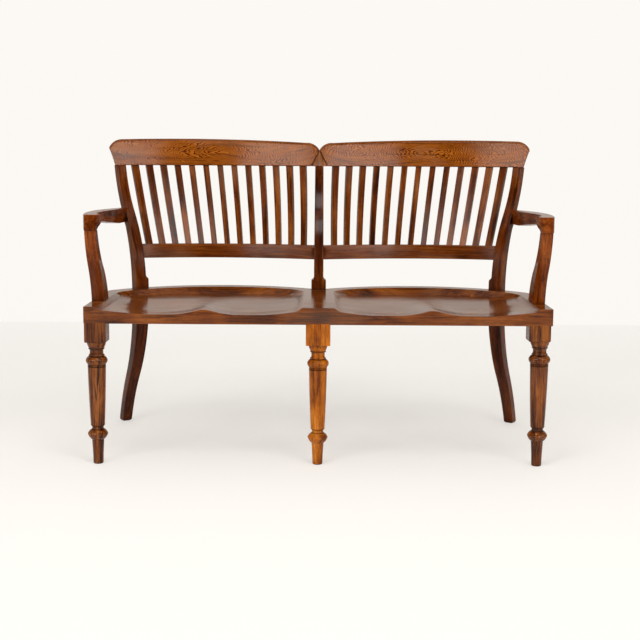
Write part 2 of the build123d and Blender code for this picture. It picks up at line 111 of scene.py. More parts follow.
def around_zero(tree, share, strength):
    """A noise of 0 to 1 turned into a push up or down of a given strength."""
    return combine(tree, "MULTIPLY", combine(tree, "SUBTRACT", share, 0.5), strength)


# %% Colour helpers


def mix_colours(tree, share, first, second):
    """Blend two colours by a share."""
    made = add_node(
        tree,
        "ShaderNodeMix",
        {0: share, 6: first, 7: second},
        data_type="RGBA",
        blend_type="MIX",
        clamp_result=True,
    )
    return made.outputs[2]


def ramp(tree, share, stops):
    """A ramp whose stops are pairs of a place and a grey or a colour."""
    made = add_node(tree, "ShaderNodeValToRGB", {0: share})
    elements = made.color_ramp.elements
    while len(elements) < len(stops):
        elements.new(0.5)
    for element, (place, tone) in zip(elements, stops):
        element.position = place
        grey = (tone, tone, tone) if isinstance(tone, (int, float)) else tone
        element.color = (*grey, 1.0)
    return made.outputs[0]


def stored(tree, layer, output):
    """What a piece stores at its vertices or faces under a name."""
    return add_node(tree, "ShaderNodeAttribute", attribute_name=layer).outputs[output]


# %% [markdown]
# ## The grain of oak
#
# Oak is a coarse wood. Dark pores run along it in short dashes, the yearly rings
# show as bands, and broad clouds make one place paler than the next. A picture
# of oak would stretch round a bent rail. Noise that is drawn out along the
# piece's own length follows the bend, so each pattern below is such a noise,
# counted in waves per metre along the piece and across it twice.

# %% Grain patterns
fibre_counts = (9.0, 330.0, 330.0)
band_counts = (3.0, 60.0, 60.0)
cloud_counts = (7.0, 16.0, 16.0)
vein_counts = (7.0, 150.0, 150.0)
pore_counts = (55.0, 620.0, 620.0)
bloom_and_sheen_counts = (5.0, 11.0, 11.0)


def stretched_noise(tree, grain, counts, detail=3.0, roughness=0.55, distortion=0.0, shift=0.0):
    """Noise drawn out along the grain, by its counts per metre each way."""
    place = add_node(tree, "ShaderNodeMapping", {0: grain, 1: (shift, shift, shift), 3: counts})
    made = add_node(
        tree,
        "ShaderNodeTexNoise",
        {0: place.outputs[0], 2: 1.0, 3: detail, 4: roughness, 8: distortion},
    )
    return made.outputs[0]


def grain_patterns(tree, grain):
    """The noises of oak by name."""
    return {
        "fibres": stretched_noise(tree, grain, fibre_counts, detail=5.0, roughness=0.7),
        "bands": stretched_noise(tree, grain, band_counts, detail=4.0, distortion=0.4, shift=3.1),
        "cloud": stretched_noise(tree, grain, cloud_counts, detail=4.0, roughness=0.6, shift=7.7),
        "veins": stretched_noise(tree, grain, vein_counts, distortion=0.7, shift=5.3),
        "pores": stretched_noise(tree, grain, pore_counts, detail=2.0),
        "bloom_and_sheen": stretched_noise(tree, grain, bloom_and_sheen_counts, shift=11.9),
    }


# %% [markdown]
# ## The figure of the crest rails
#
# A board sawn flat from the log shows its rings as long ovals, one inside the
# other. The crest rails have such a figure in the middle. The rings are made by
# formula: the distance from the middle of the board, warped by two noises, is
# cut into even steps, and the figure fades towards the ends of the board.

# %% Long warped ovals
ring_spacing = 0.0085
ring_squash = 3.0
push_counts, push_reach = (6.0, 22.0, 22.0), 0.16
waver_counts, waver_reach = (24.0, 60.0, 60.0), 0.022
ring_tones = ((0.0, 1.0), (0.55, 0.55), (0.86, 0.0), (1.0, 1.0))
figure_fade = ((0.0, 1.0), (0.22, 0.8), (0.40, 0.4), (0.7, 0.2))


def flat_sawn_figure(tree, grain, strength):
    """Rings of a flat-sawn board: long ovals round the middle of its face, much warped."""
    push = stretched_noise(tree, grain, push_counts, shift=2.3)
    waver = stretched_noise(tree, grain, waver_counts, detail=2.0, shift=4.1)
    parts = add_node(tree, "ShaderNodeSeparateXYZ", {0: grain})
    along = combine(tree, "MULTIPLY_ADD", around_zero(tree, push, 1.0), push_reach, parts.outputs[0])
    across = combine(tree, "MULTIPLY", parts.outputs[1], ring_squash)
    up = combine(tree, "MULTIPLY", parts.outputs[2], ring_squash)
    up = combine(tree, "PINGPONG", up, 0.5)
    place = add_node(tree, "ShaderNodeCombineXYZ", {0: along, 1: across, 2: up})
    reach = add_node(tree, "ShaderNodeVectorMath", {0: place.outputs[0]}, operation="LENGTH")
    distance = reach.outputs["Value"]
    rings = combine(tree, "ADD", distance, around_zero(tree, waver, waver_reach))
    turns = combine(tree, "FRACT", combine(tree, "MULTIPLY", rings, 1 / ring_spacing))
    wave = combine(tree, "SUBTRACT", ramp(tree, turns, ring_tones), 0.5)
    fade = combine(tree, "MULTIPLY", ramp(tree, distance, figure_fade), strength)
    return combine(tree, "MULTIPLY", wave, fade)


# %% [markdown]
# ## The colour of the wood
#
# Under old polish the tones of oak run from nearly black through red brown to
# orange. The bands, fibres and clouds push one number up and down, and a ramp
# turns that number into three tones. Veins and pores are laid over it, darker
# than the darkest tone, and a thin pale haze is laid over all: partly polish
# that has dried, partly a painted sheen.

# %% Tones, veins, pores, and a haze of dried polish and painted sheen
tone_places = (0.10, 0.5, 0.90)
band_strength_share = 1.4
cloud_strength_share = 2
vein_edge = ((0.56, 0.0), (0.64, 1.0))
pore_edge = ((0.55, 0.0), (0.68, 1.0))
bloom_and_sheen_edge = ((0.50, 0.0), (0.66, 1.0))
pore_strength = 0.5
deep_share = 0.45
# The haze colour is pale: partly dried polish, partly painted sheen.
bloom_and_sheen_colour = (0.36, 0.23, 0.15, 1.0)


def shaded(colour, share):
    """A darker colour of the same hue, ready for a socket."""
    return (*(value * share for value in colour), 1.0)


def wood_colour(tree, grain, noises, tones, streaks, patches, figure):
    """Three tones of oak driven by its bands, fibres, clouds and figure."""
    tone = combine(tree, "ADD", around_zero(tree, noises["fibres"], streaks), 0.5)
    banded = around_zero(tree, noises["bands"], streaks * band_strength_share)
    tone = combine(tree, "ADD", tone, banded)
    clouded = around_zero(tree, noises["cloud"], patches * cloud_strength_share)
    tone = combine(tree, "ADD", tone, clouded)
    if figure:
        tone = combine(tree, "ADD", tone, flat_sawn_figure(tree, grain, figure))
    tone = combine(tree, "ADD", tone, 0.0, clamp=True)
    return ramp(tree, tone, tuple(zip(tone_places, tones)))


# %% [markdown]
# ## Wear, dirt, painted shade and wax
#
# Hands rub the edges of a chair paler, and dust and wax gather where no cloth
# reaches. The crest rails' rounded edges are painted darker instead, as shade.
# The rounded edges carry a mark, "arris", and narrow cuts another, "groove", so
# the finish knows them in every view: the groove is a dark joint line on the
# crest rails and painted shade on the legs. Ambient occlusion finds the other
# hollows and seams, and they are painted darker, partly as dirt and partly as
# shade. The wax is glossy, but less so on pores and on these dark places.

# %% Worn edges, dirt and painted shade, and gloss
edge_wear_and_shade_ramp = ((0.40, 0.0), (0.60, 1.0))
# Ambient occlusion darkens hollows and seams: partly dirt, partly painted shade.
hollow_reach, hollow_dirt_and_shade = 0.024, ((0.25, 0.85), (0.78, 0.0))
seam_reach, seam_dirt_and_shade = 0.004, ((0.50, 1.0), (0.88, 0.0))
occlusion_samples = 8
dirt_and_shade_strength, groove_strength = 0.7, 0.9
dirt_and_shade_share = 0.16
wax_roughness, cloud_roughness, pore_roughness, dirt_and_shade_roughness = 0.16, 0.12, 0.06, 0.3
vein_depth, relief_strength, relief_height = -0.5, 0.25, 0.0004


def closeness(tree, reach, stops):
    """How much of the surroundings within a reach is closed in, by a ramp."""
    around = add_node(
        tree, "ShaderNodeAmbientOcclusion", {"Distance": reach}, samples=occlusion_samples
    )
    return ramp(tree, around.outputs["AO"], stops)


def dirt_and_painted_shade(tree):
    """Where the colour darkens: dirt and painted shade in hollows and seams, and the marked grooves.
    """
    hollow = closeness(tree, hollow_reach, hollow_dirt_and_shade)
    seam = closeness(tree, seam_reach, seam_dirt_and_shade)
    found = combine(tree, "MAXIMUM", hollow, seam)
    found = combine(tree, "MULTIPLY", found, dirt_and_shade_strength, clamp=True)
    marked = combine(tree, "MULTIPLY", stored(tree, "groove", "Fac"), groove_strength)
    return combine(tree, "MAXIMUM", found, marked)


def wax_gloss(tree, cloud, pore_mask, dirt_and_shade):
    """Roughness of the wax: cloudy, and duller on pores and on the dark places of dirt and painted
    shade.
    """
    gloss = combine(tree, "ADD", around_zero(tree, cloud, cloud_roughness), wax_roughness)
    gloss = combine(tree, "MULTIPLY_ADD", pore_mask, pore_roughness, gloss)
    return combine(tree, "MULTIPLY_ADD", dirt_and_shade, dirt_and_shade_roughness, gloss, clamp=True)


# %% [markdown]
# ## One recipe for all the oak
#
# Each piece has its own tones and its own share of streaks, patches, veins,
# wear, painted shade and painted sheen. One function joins the steps above, so
# that all pieces are one wood.

# %% The oak recipe


def oak(
    name,
    *tones,
    streaks,
    patches,
    lines,
    bloom_and_sheen,
    figure=0.0,
    edge_wear_and_shade=0.3,
    edge=None,
    shine=0.15,
):
    """Oak from a dark, a middle and a light tone, with the strength of its marks, wear, painted shade
    and painted sheen.
    """
    material = bpy.data.materials.new(name)
    material.use_nodes = True
    tree = material.node_tree
    shader = tree.nodes["Principled BSDF"]
    grain = stored(tree, "grain", "Vector")
    noises = grain_patterns(tree, grain)
    dark, _, light = tones

    colour = wood_colour(tree, grain, noises, tones, streaks, patches, figure)
    deep = shaded(dark, deep_share)
    vein_mask = ramp(tree, noises["veins"], vein_edge)
    colour = mix_colours(tree, combine(tree, "MULTIPLY", vein_mask, lines), colour, deep)
    pore_mask = ramp(tree, noises["pores"], pore_edge)
    colour = mix_colours(tree, combine(tree, "MULTIPLY", pore_mask, pore_strength), colour, deep)
    # A pale haze over the wood, partly dried polish and partly painted sheen.
    bloom_and_sheen_mask = ramp(tree, noises["bloom_and_sheen"], bloom_and_sheen_edge)
    colour = mix_colours(tree, combine(tree, "MULTIPLY", bloom_and_sheen_mask, bloom_and_sheen), colour, bloom_and_sheen_colour)

    # Rounded edges are mixed towards the light tone as wear. Where an edge tone is given, as on the
    # crest rails, they go darker instead, as painted shade.
    edge_wear_and_shade_mask = ramp(tree, noises["cloud"], edge_wear_and_shade_ramp)
    edge_wear_and_shade_mask = combine(tree, "MULTIPLY", stored(tree, "arris", "Fac"), edge_wear_and_shade_mask)
    edge_wear_and_shade_mask = combine(tree, "MULTIPLY", edge_wear_and_shade_mask, edge_wear_and_shade)
    colour = mix_colours(tree, edge_wear_and_shade_mask, colour, shaded(edge or light, 1.0))
    # Hollows, seams and marked grooves are painted towards a near black: dirt, dark joints and painted
    # shade.
    dirt_and_shade = dirt_and_painted_shade(tree)
    colour = mix_colours(tree, dirt_and_shade, colour, shaded(dark, dirt_and_shade_share))

    relief = combine(tree, "MULTIPLY_ADD", vein_mask, vein_depth * lines, noises["bands"])
    bump = add_node(
        tree,
        "ShaderNodeBump",
        {"Height": relief, "Strength": relief_strength, "Distance": relief_height},
    )
    gloss = wax_gloss(tree, noises["cloud"], pore_mask, dirt_and_shade)
    tree.links.new(colour, shader.inputs["Base Color"])
    tree.links.new(gloss, shader.inputs["Roughness"])
    tree.links.new(bump.outputs[0], shader.inputs["Normal"])
    shader.inputs["Specular IOR Level"].default_value = shine
    return material


# %% [markdown]
# ## The oak of each piece
#
# The crest rails are the most figured, orange in the middle, and their rounded
# edges are painted darker, as shade.
# The posts and slats are darker, the outer turned legs streaky, the middle leg
# much more orange, and the seat keeps more of its shine. The same recipe with
# other numbers gives each of them.

# %% Mix the finishes
# The haze shares are partly dried polish and partly painted sheen, most on the crest, rails and slats.
finishes = {
    "crest": oak(
        "oak_crest",
        (0.050, 0.008, 0.001),
        (0.180, 0.037, 0.001),
        (0.34, 0.096, 0.007),
        streaks=0.8,
        patches=0.6,
        lines=0.5,
        bloom_and_sheen=0.14,
        figure=1.7,
        # The crest's rounded edges are painted towards a dark tone, as shade on the rolled edge.
        edge_wear_and_shade=0.7,
        edge=(0.09, 0.018, 0.001),
    ),
    "spandrel": oak(
        "oak_spandrel",
        (0.07, 0.016, 0.002),
        (0.26, 0.085, 0.020),
        (0.44, 0.19, 0.060),
        streaks=0.9,
        patches=0.6,
        lines=0.5,
        bloom_and_sheen=0.05,
        shine=0.3,
    ),
    "posts": oak(
        "oak_posts",
        (0.018, 0.003, 0.001),
        (0.082, 0.014, 0.001),
        (0.20, 0.048, 0.004),
        streaks=0.9,
        patches=0.7,
        lines=0.7,
        bloom_and_sheen=0.04,
    ),
    "rails": oak(
        "oak_rails",
        (0.034, 0.006, 0.001),
        (0.122, 0.025, 0.002),
        (0.22, 0.062, 0.008),
        streaks=1.0,
        patches=0.4,
        lines=0.4,
        bloom_and_sheen=0.12,
    ),
    "slats": oak(
        "oak_slats",
        (0.028, 0.005, 0.001),
        (0.108, 0.021, 0.001),
        (0.23, 0.060, 0.006),
        streaks=1.0,
        patches=0.7,
        lines=0.6,
        bloom_and_sheen=0.12,
    ),
    "seat": oak(
        "oak_seat",
        (0.036, 0.007, 0.001),
        (0.145, 0.033, 0.002),
        (0.26, 0.074, 0.010),
        streaks=1.1,
        patches=0.6,
        lines=0.6,
        bloom_and_sheen=0.08,
        shine=0.24,
    ),
    "legs": oak(
        "oak_legs",
        (0.024, 0.005, 0.001),
        (0.135, 0.032, 0.004),
        (0.31, 0.095, 0.014),
        streaks=1.5,
        patches=0.5,
        lines=0.9,
        bloom_and_sheen=0.03,
        shine=0.25,
    ),
    "leg_centre": oak(
        "oak_leg_centre",
        (0.130, 0.026, 0.002),
        (0.415, 0.115, 0.006),
        (0.66, 0.230, 0.022),
        streaks=0.9,
        patches=1.0,
        lines=0.4,
        bloom_and_sheen=0.03,
    ),
    "arms": oak(
        "oak_arms",
        (0.036, 0.006, 0.001),
        (0.138, 0.024, 0.001),
        (0.29, 0.070, 0.007),
        streaks=0.9,
        patches=0.6,
        lines=0.6,
        bloom_and_sheen=0.04,
    ),
}
slots = {finish: f"oak_{finish}" for finish in finishes}
slots["spandrel"] = "oak_crest"
slots["leg_centre"] = "oak_legs"
print("finishes mixed:", ", ".join(sorted(finishes)))

# %% [markdown]
# ## Grain that follows the piece
#
# A sawn or bent piece is easiest to describe along its own length. The helper
# fits a smooth centre line through the piece and stores, at each vertex, how far
# along it lies and how far off the line. The oak recipe reads that attribute.
# A seed shifts the pattern, so that no two pieces come from the same board.

# %% Store the grain
along_x, along_y, along_z = 0, 1, 2
polynomial = np.polynomial.polynomial


def store_grain(mesh, axis, seed, degree):
    """Write the grain attribute: along the piece's length, then off its centre line."""
    places = np.zeros(len(mesh.vertices) * 3)
    mesh.vertices.foreach_get("co", places)
    places = places.reshape(-1, 3)
    others = [index for index in range(3) if index != axis]
    along = places[:, axis]
    middle = (along.min() + along.max()) / 2
    scaled = (along - middle) / (np.ptp(along) / 2)
    grain = np.zeros_like(places)
    grain[:, 0] = along - middle
    for column, other in enumerate(others, start=1):
        line = polynomial.polyfit(scaled, places[:, other], degree)
        grain[:, column] = places[:, other] - polynomial.polyval(scaled, line)
    grain[:, 2] += seed
    layer = mesh.attributes.new("grain", "FLOAT_VECTOR", "POINT")
    layer.data.foreach_set("vector", grain.astype(np.float32).ravel())


# %% Turn a shape into a piece
crisp_angle = math.radians(35)


def place_piece(shape, name, finish, axis, seed, degree, *nodes):
    """Turn a bmesh into a piece that rides on the frame in place of its nodes."""
    for face in shape.faces:
        face.smooth = True
    for edge in shape.edges:
        if len(edge.link_faces) == 2 and edge.calc_face_angle() > crisp_angle:
            edge.smooth = False
    mesh = bpy.data.meshes.new(name)
    shape.to_mesh(mesh)
    shape.free()
    store_grain(mesh, axis, seed, degree)
    mesh.materials.append(finishes[finish])
    piece = bpy.data.objects.new(name, mesh)
    bpy.context.scene.collection.objects.link(piece)
    weighted = piece.modifiers.new("weighted", "WEIGHTED_NORMAL")
    weighted.keep_sharp = True
    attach(piece, "root")
    if nodes:
        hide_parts(*nodes)


def dressed():
    """How many pieces have their oak on."""
    return sum(mesh.name.endswith("_oak") for mesh in bpy.data.meshes)


# %% [markdown]
# ## Edges rounded by use
#
# No edge of an old chair is sharp. A Bevel modifier would round every edge
# alike, also those inside a joint. So a copy of each CAD solid is merged, its
# flat triangles are joined into whole faces, and its outward edges in the open
# are beveled. One search tree over all the solids tells which edges lie in a
# joint. Those stay sharp, or are cut as a groove where a dark line shows.

# %% Find the joints
contact_reach = 0.0003
tree_places, tree_faces, tree_owners = [], [], []
for node_name, node_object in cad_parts.items():
    first = len(tree_places)
    tree_places += [vertex.co.copy() for vertex in node_object.data.vertices]
    for polygon in node_object.data.polygons:
        tree_faces.append([first + index for index in polygon.vertices])
        tree_owners.append(node_name)
contact_tree = BVHTree.FromPolygons(tree_places, tree_faces)
print("search tree over", len(tree_faces), "triangles")


def in_joint(node, edge):
    """True where the edge lies against another piece."""
    middle = (edge.verts[0].co + edge.verts[1].co) / 2
    near = contact_tree.find_nearest_range(middle, contact_reach)
    return any(tree_owners[found[2]] != node for found in near)


# %% Choose and round edges
sharp_angle = math.radians(32)
floor_slack = 0.0005
forward_limit, upward_limit = -0.55, 0.45


def arrises(shape, wanted):
    """The outward sharp edges of a shape that a test wants."""
    return [
        edge
        for edge in shape.edges
        if len(edge.link_faces) == 2
        and edge.is_convex
        and edge.calc_face_angle() > sharp_angle
        and wanted(edge)
    ]


def faces_front_and_up(edge):
    """True where the edge parts a face that looks forward from one that looks up."""
    normals = [face.normal for face in edge.link_faces]
    forward = min(normal.y for normal in normals)
    return forward < forward_limit and max(normal.z for normal in normals) > upward_limit


def on_floor(edge):
    """True where the whole edge stands on the floor."""
    return max(vertex.co.z for vertex in edge.verts) < floor_slack


def round_edges(shape, edges, width, steps, layer="arris"):
    """Bevel some edges and mark the new faces as arris, for wear or painted shade, or as part of a
    groove.
    """
    made = bmesh.ops.bevel(
        shape,
        geom=edges,
        offset=width,
        offset_type="OFFSET",
        segments=steps,
        profile=0.5,
        affect="EDGES",
        clamp_overlap=False,
        material=-1,
    )
    marks = shape.faces.layers.float[layer]
    for face in made["faces"]:
        face[marks] = 1.0


# %% Soften one piece
merge_reach = 1e-5
shortest_edge = 0.0012
edge_steps, roll_steps, foot_steps, seam_steps = 3, 5, 4, 1


def merged_copy(node, flatness, reshape=None):
    """The CAD solid of a node with whole faces and no edge too short to bevel, as a bmesh."""
    shape = bmesh.new()
    shape.from_mesh(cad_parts[node].data)
    bmesh.ops.remove_doubles(shape, verts=shape.verts, dist=merge_reach)
    if reshape:
        for vertex in shape.verts:
            reshape(vertex.co)
    bmesh.ops.dissolve_degenerate(shape, dist=shortest_edge, edges=shape.edges)
    bmesh.ops.dissolve_limit(
        shape, angle_limit=math.radians(flatness), verts=shape.verts, edges=shape.edges
    )
    shape.faces.layers.float.new("arris")
    shape.faces.layers.float.new("groove")
    return shape


def soften(
    node,
    finish,
    axis,
    seed,
    width,
    degree=4,
    roll=0.0,
    foot=0.0,
    seam=0.0,
    flatness=0.5,
    reshape=None,
    adjust=None,
):
    """Stand a softened copy in a CAD node's place."""
    shape = merged_copy(node, flatness, reshape)
    if foot:
        round_edges(shape, arrises(shape, on_floor), foot, foot_steps)
    if roll:
        rolled = arrises(shape, lambda edge: faces_front_and_up(edge) and not in_joint(node, edge))
        round_edges(shape, rolled, roll, roll_steps)
    open_edges = arrises(shape, lambda edge: not in_joint(node, edge))
    round_edges(shape, open_edges, width, edge_steps)
    if seam:
        joint_edges = arrises(shape, lambda edge: in_joint(node, edge))
        round_edges(shape, joint_edges, seam, seam_steps, "groove")
    if adjust:
        for vertex in shape.verts:
            adjust(vertex.co)
    place_piece(shape, f"{node}_oak", finish, axis, seed, degree, node)


# %% [markdown]
# ## Crest rails, lower rails and posts
#
# The crest rail is the piece that hands hold: its front top edge is rolled over,
# and its outer tip is blunt. A dark line shows where the crest rails meet the
# small spandrel between them, so their joint edges are cut as a shallow groove.
# The posts run from foot to crest in one piece, and their feet are rounded where
# they have been dragged over floors.
#
# The CAD's shape serves all of these, apart from the tip: there the front and
# back vertex are moved in before the bevel. The pieces themselves are made
# further down, after the helpers that the arms and slats need.

# %% Blunt the crest rail's tip
crest_edge, crest_roll, crest_seam = 0.003, 0.008, 0.0018
rail_edge = 0.002
post_edge, post_foot = 0.003, 0.007
tip_height, tip_inside, tip_slack = 0.8996, 0.66, 0.001
tip_cut, tip_drop = 0.0012, 0.003


def blunt_tip(place):
    """Take the point off the crest rail's outer end."""
    if abs(place.z - tip_height) < tip_slack and abs(place.x) > tip_inside:
        place.x -= math.copysign(tip_cut, place.x)
        place.z -= tip_drop


# %% [markdown]
# ## Arms
#
# The arm widens into a block in front, and the block is hollowed below towards
# the arm. The CAD block is a little too wide on its inner side. Moving those
# vertices is simpler than cutting the block again, so the hollow is carried on
# to the back of the block.

# %% Slim the neck of the arm
arm_edge, support_edge = 0.002, 0.003
arm_neck, neck_depth = 0.6225, 0.0095
neck_front, neck_end = -0.249, -0.2
neck_low, neck_high = 0.668, 0.684


def slim_neck(place):
    """Carry the hollow under the arm's front block on to the back of the block."""
    below = min(1.0, max(0.0, (neck_high - place.z) / (neck_high - neck_low)))
    inner = arm_neck + neck_depth * below**2
    if neck_front < place.y < neck_end and place.z < neck_high and abs(place.x) < inner:
        place.x = math.copysign(inner, place.x)


# %% [markdown]
# ## Slats
#
# Thirteen bent slats fill each back. The CAD slats are all alike. The real ones
# are fuller, taper to their feet, and grow wider towards the outer post, where
# they also turn in a little. Each slat keeps its own bend: the helper fits the
# slat's centre line by height and widens, deepens and turns it about that line.

# %% Reshape a slat
slats_each_side, middle_slat = 13, 7
slat_edge = 0.0016
slat_fuller = 1.35
slat_turn = math.radians(8)
slat_bend_degree = 3
front_limit = -0.5
foot_middle_share, foot_outer_share = 0.92, 0.17
head_middle_share, head_inner_share, head_outer_share = 0.98, 0.16, 0.27


def slat_facing(mesh):
    """The way a slat's front looks, seen from above."""
    forward = (face.normal * face.area for face in mesh.polygons if face.normal.y < front_limit)
    return sum(forward, Vector()).to_2d().normalized().to_3d()


def slat_shaper(node, towards_end, turn):
    """A reshaping for one slat: fuller, tapered to its foot, and turned in near the end."""
    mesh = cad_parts[node].data
    facing = slat_facing(mesh)
    sideways = Vector((-facing.y, facing.x, 0))
    places = np.array([vertex.co for vertex in mesh.vertices])
    heights = places[:, 2]
    ways = (np.array(facing), np.array(sideways))
    bends = [polynomial.polyfit(heights, places @ way, slat_bend_degree) for way in ways]
    outer, inner = max(0, towards_end), max(0, -towards_end)
    foot = foot_middle_share + foot_outer_share * outer
    head = head_middle_share + head_outer_share * outer + head_inner_share * inner

    def reshape(place):
        middles = [float(polynomial.polyval(place.z, bend)) for bend in bends]
        depth, width = place.dot(facing) - middles[0], place.dot(sideways) - middles[1]
        rise = (place.z - heights.min()) / np.ptp(heights)
        wide, deep = width * (foot + (head - foot) * rise), depth * slat_fuller
        place += facing * (deep * math.cos(turn) - wide * math.sin(turn) - depth)
        place += sideways * (deep * math.sin(turn) + wide * math.cos(turn) - width)

    return reshape


# %% [markdown]
# ## One chair back after the other
#
# Both backs have the same pieces, so one loop dresses the left back and its arm
# and then the right ones. Each piece gets its own seed, and each slat its own
# width and turn.

# %% Dress the two chair backs and their arms
for number, side in enumerate(("left", "right")):
    soften(
        f"crest_rail_{side}",
        "crest",
        along_x,
        seed=1 + number,
        width=crest_edge,
        roll=crest_roll,
        seam=crest_seam,
        reshape=blunt_tip,
    )
    soften(f"lower_back_rail_{side}", "rails", along_x, seed=3 + number, width=rail_edge)
    soften(
        f"back_post_{side}",
        "posts",
        along_z,
        seed=5 + number,
        width=post_edge,
        degree=5,
        foot=post_foot,
    )
    soften(f"arm_{side}", "arms", along_y, seed=7 + number, width=arm_edge, reshape=slim_neck)
    soften(f"arm_support_{side}", "arms", along_z, seed=9 + number, width=support_edge)
    inwards = (1, -1)[number]
    for slat in range(1, slats_each_side + 1):
        node = f"slat_{slat:02d}_{side}"
        towards_end = (slat - middle_slat) / (middle_slat - 1)
        turn = slat_turn * max(0, towards_end) * inwards
        soften(
            node,
            "slats",
            along_z,
            seed=11 + slat + slats_each_side * number,
            width=slat_edge,
            degree=2,
            reshape=slat_shaper(node, towards_end, turn),
        )
print("pieces dressed:", dressed())

# %% [markdown]
# ## Middle post and spandrel
#
# One post carries the inner ends of both backs. The spandrel above it is a small
# pointed block, paler than the rest of the back. Its edges stay crisp, so it
# gets a narrow rounding, and its joints the same groove as the crest rails.

# %% Dress the middle of the back
spandrel_edge = 0.001
soften(
    "back_post_centre",
    "posts",
    along_z,
    seed=40,
    width=post_edge,
    degree=5,
    foot=post_foot,
)
soften(
    "crest_spandrel",
    "spandrel",
    along_z,
    seed=41,
    width=spandrel_edge,
    degree=1,
    seam=crest_seam,
)
print("pieces dressed:", dressed())

# %% [markdown]
# ## The saddled seat
#
# The seat is one thick board with two hollows. The real board is about 4 mm
# thicker than the CAD board, and the front lip of its hollows dips less. Both are small
# moves of the vertices: the lip is lifted by a share that fades towards the
# back, and the underside goes down. The triangles of the hollows are joined only
# where they are almost flat, and the edges get a narrow rounding, because a wide
# one would fold over on the long thin faces of the lip.

# %% Dress the seat
seat_top, seat_bottom = 0.455, 0.411
seat_edge, seat_flatness = 0.0015, 0.02
lip_reach, lip_front, lip_lift_share = 0.13, -0.352, 0.20
board_deeper = 0.004
hollow_above, underside_below = 0.012, 0.006


def worn_seat(place):
    """Lift the lip of the hollows towards the front edge and thicken the board below."""
    nearness = min(1.0, max(0.0, 1 - (place.y - lip_front) / lip_reach))
    ease = nearness * nearness * (3 - 2 * nearness)
    if seat_bottom + hollow_above < place.z < seat_top:
        place.z = seat_top - (seat_top - place.z) * (1 - lip_lift_share * ease)
    elif place.z < seat_bottom + underside_below:
        place.z -= board_deeper


soften(
    "seat",
    "seat",
    along_x,
    seed=42,
    width=seat_edge,
    degree=0,
    flatness=seat_flatness,
    adjust=worn_seat,
)
print("pieces dressed:", dressed())

# %% [markdown]
# ## Turned front legs
#
# A turner cuts a leg from the foot up: a tapered foot, a cup-shaped ring, a deep
# cove, a long swelling column, two thin fillets, a round bulb and a flared
# collar under the square block. Each row below is a radius, a height and how far
# the cut bulges out on its way there, in millimetres. The profile is spun round
# the leg's axis, as on a lathe.

# %% Draw the profile
leg_profile = (
    (0.0, 0.0, 0.0),
    (10.5, 0.0, 0.0),
    (14.4, 3.6, 1.0),
    (17.3, 70.5, -0.5),
    (28.3, 86.0, 1.6),
    (27.9, 90.0, 0.5),
    (19.6, 99.5, 0.9),
    (17.0, 101.5, 0.0),
    (16.9, 108.6, -0.9),
    (18.6, 110.0, 0.0),
    (18.6, 111.6, 0.3),
    (19.9, 115.0, 0.9),
    (25.6, 278.4, 0.7),
    (24.2, 279.3, 0.0),
    (24.3, 282.3, 1.6),
    (24.5, 285.5, 1.5),
    (25.0, 286.0, 0.0),
    (24.4, 308.2, 6.0),
    (20.8, 309.4, 0.0),
    (22.2, 310.6, 0.0),
    (22.1, 313.6, 0.4),
    (19.6, 316.0, -0.5),
    (20.0, 328.8, -0.9),
    (22.4, 330.4, 0.0),
    (22.4, 332.4, 0.3),
    (21.6, 333.6, 0.0),
    (27.3, 349.6, 0.9),
    (27.3, 351.1, 0.2),
    (0.0, 351.1, 0.0),
)
curve_steps = 7
millimetres = 1000


def profile_points(rows):
    """Points along the profile, with each bulge drawn as a shallow curve, in metres."""
    points = [(rows[0][0] / millimetres, rows[0][1] / millimetres)]
    for (r0, z0, _), (r1, z1, bulge) in zip(rows, rows[1:]):
        length = math.hypot(r1 - r0, z1 - z0)
        steps = curve_steps if bulge else 1
        for step in range(1, steps + 1):
            share = step / steps
            lift = 4 * bulge * share * (1 - share)
            radius = r0 + (r1 - r0) * share + lift * (z1 - z0) / length
            height = z0 + (z1 - z0) * share - lift * (r1 - r0) / length
            points.append((radius / millimetres, height / millimetres))
    return points


print("points in the profile:", len(profile_points(leg_profile)))

# %% [markdown]
# ## From profile to leg
#
# The three legs aren't quite alike: their rings and bulbs stand at slightly
# different heights. After the spin, one function slides the beads along the leg
# and leaves the foot where it is. The faces in the narrow cuts get the mark that
# the oak recipe reads as a groove, and so are painted darker, as shade. The square
# block is a cube with soft edges, and on the outer legs it is painted a little
# darker, as the shade under the seat.

# %% Helpers for one leg
turning_steps = 64
turning_merge = 1e-6
block_foot, block_top = 0.351, 0.411
block_bevel = 0.0025
# The narrow cuts between these heights, in millimetres, are painted darker as shade.
dark_rings = ((99.5, 102.5), (108.6, 112.0), (278.4, 281.5), (308.2, 311.5), (329.5, 334.0))
ring_shade = 0.7
lift_stations = (0.0, 0.0705, 0.115, 0.2784, 0.3511)


def spun_profile(x, y):
    """The leg's turned part as a bmesh, with its narrow cuts marked for painted shade."""
    shape = bmesh.new()
    shape.faces.layers.float.new("arris")
    shade_layer = shape.faces.layers.float.new("groove")
    line = [shape.verts.new((x + radius, y, height)) for radius, height in profile_points(leg_profile)]
    edges = [shape.edges.new(pair) for pair in zip(line, line[1:])]
    bmesh.ops.spin(
        shape,
        geom=line + edges,
        cent=(x, y, 0),
        axis=(0, 0, 1),
        angle=2 * math.pi,
        steps=turning_steps,
        use_merge=True,
    )
    bmesh.ops.remove_doubles(shape, verts=shape.verts, dist=turning_merge)
    bmesh.ops.recalc_face_normals(shape, faces=shape.faces)
    for face in shape.faces:
        height = face.calc_center_median().z * millimetres
        face[shade_layer] = ring_shade if any(low < height < high for low, high in dark_rings) else 0.0
    return shape


